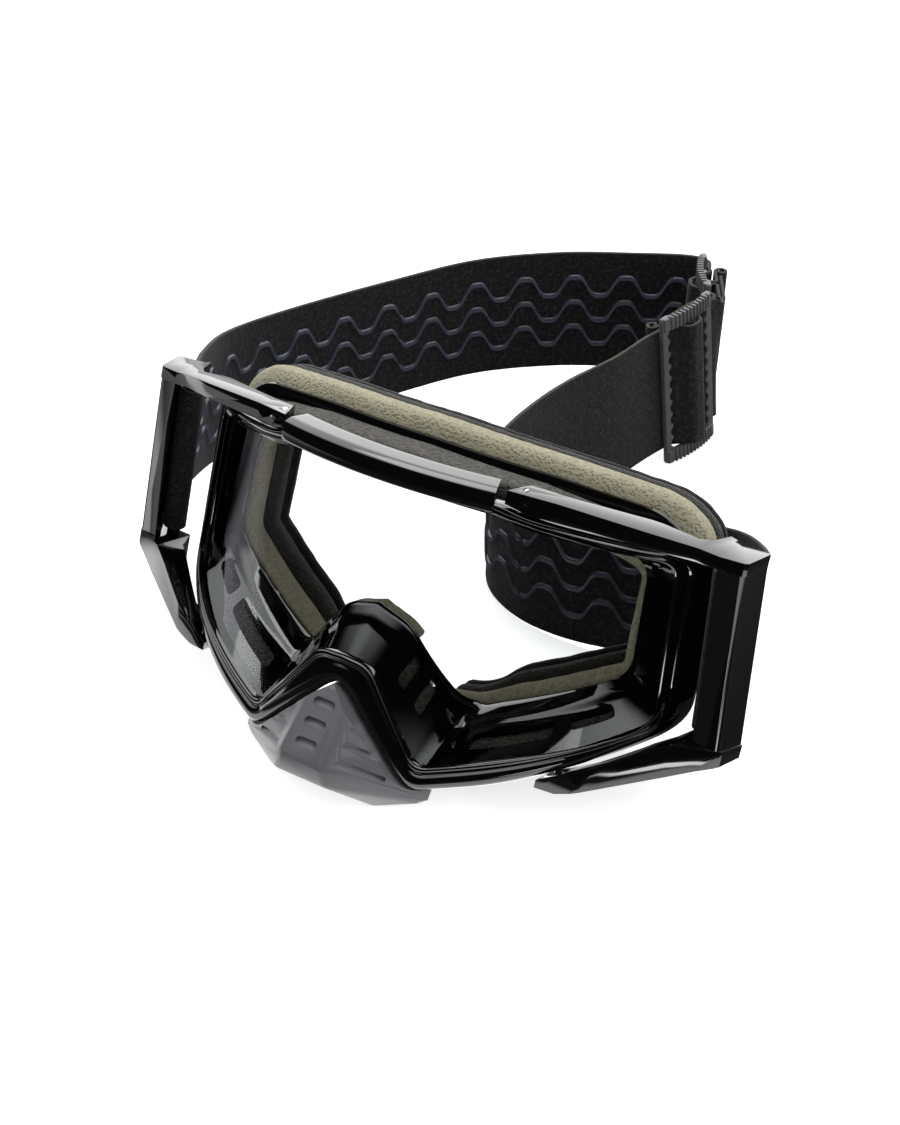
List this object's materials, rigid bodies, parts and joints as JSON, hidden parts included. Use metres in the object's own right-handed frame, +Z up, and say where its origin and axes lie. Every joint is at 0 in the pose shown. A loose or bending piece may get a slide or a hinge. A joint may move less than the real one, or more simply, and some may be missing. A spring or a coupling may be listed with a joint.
{
  "type": "off-road goggles",
  "caption": "Clear-lens off-road goggles with hinged outriggers, layered face foam, a clip-on nose guard and a folded elastic strap with sliding adjusters.",
  "frame": {"origin": "centre of the footprint on the ground, with the goggles resting on their lower edge and the strap folded behind them", "axes": "+Y from the goggles' front towards the strap folded behind them, the longest extent; +Z up, the shortest extent; +X to the wearer's left as the goggles face -Y"},
  "size_m": [0.214, 0.2672, 0.0915],
  "materials": {
    "front_frame": "gloss black",
    "face_frame": "gloss black",
    "lens": "clear polycarbonate",
    "outrigger": "gloss black",
    "hinge_pins": "brushed",
    "nose_guard": "fine grain, matte dark grey",
    "base_foam": "open-cell foam, beige grey",
    "mid_foam": "open-cell foam, dark grey",
    "fleece": "napped fleece",
    "vent_foam": "coarse open-cell foam",
    "strap": "woven elastic, black",
    "beads": "glossy silicone",
    "adjuster": "matte dark grey"
  },
  "bodies": {
    "goggles": {"front_frame": "front_frame", "face_frame": "face_frame", "lens": "lens", "hinge_pins_left": "hinge_pins", "hinge_pins_right": "hinge_pins", "face_foam_base": "base_foam", "face_foam_mid": "mid_foam", "face_fleece": "fleece", "nose_foam": "base_foam", "top_vent_foam": "vent_foam", "corner_vent_foam_left": "vent_foam", "corner_vent_foam_right": "vent_foam", "bottom_vent_foam_left": "vent_foam", "bottom_vent_foam_right": "vent_foam", "nose_vent_foam_left": "vent_foam", "nose_vent_foam_right": "vent_foam", "strap_left": "strap", "strap_right": "strap", "grip_beads_left": "beads", "grip_beads_right": "beads"},
    "left_outrigger": {"outrigger_left": "outrigger", "strap_end_left": "strap"},
    "right_outrigger": {"outrigger_right": "outrigger", "strap_end_right": "strap"},
    "guard": {"nose_guard": "nose_guard"},
    "back_adjuster": {"adjuster_back": "adjuster", "sewn_end_back": "strap"},
    "front_adjuster": {"adjuster_front": "adjuster", "sewn_end_front": "strap"}
  },
  "joints": [
    {"name": "right_outrigger_cant", "type": "hinge", "parent": "goggles", "child": "right_outrigger", "pos_m": [0.04656, -0.08411, 0.08583], "axis": [0.2718, -0.158, -0.9493], "range_deg": [-3, 3], "deforming": ["strap_right", "grip_beads_right"]},
    {"name": "left_outrigger_cant", "type": "hinge", "parent": "goggles", "child": "left_outrigger", "pos_m": [-0.02784, -0.08411, 0.08583], "axis": [-0.2718, -0.158, -0.9493], "range_deg": [-3, 3], "deforming": ["strap_left", "grip_beads_left"]},
    {"name": "nose_guard_pull", "type": "slide", "parent": "goggles", "child": "guard", "axis": [0, -0.9438, 0.3305], "range_m": [0, 0.02]},
    {"name": "front_adjuster_slide", "type": "slide", "parent": "goggles", "child": "front_adjuster", "axis": [-0.3314, -0.9435, 0], "range_m": [0, 0.028], "deforming": ["strap_left", "strap_right", "grip_beads_right"]},
    {"name": "back_adjuster_swing", "type": "hinge", "parent": "goggles", "child": "back_adjuster", "pos_m": [-0.01764, 0.10706, 0.0275], "axis": [0, 0, 1], "range_deg": [0, 36], "deforming": ["strap_left", "strap_right", "grip_beads_left"]}
  ]
}
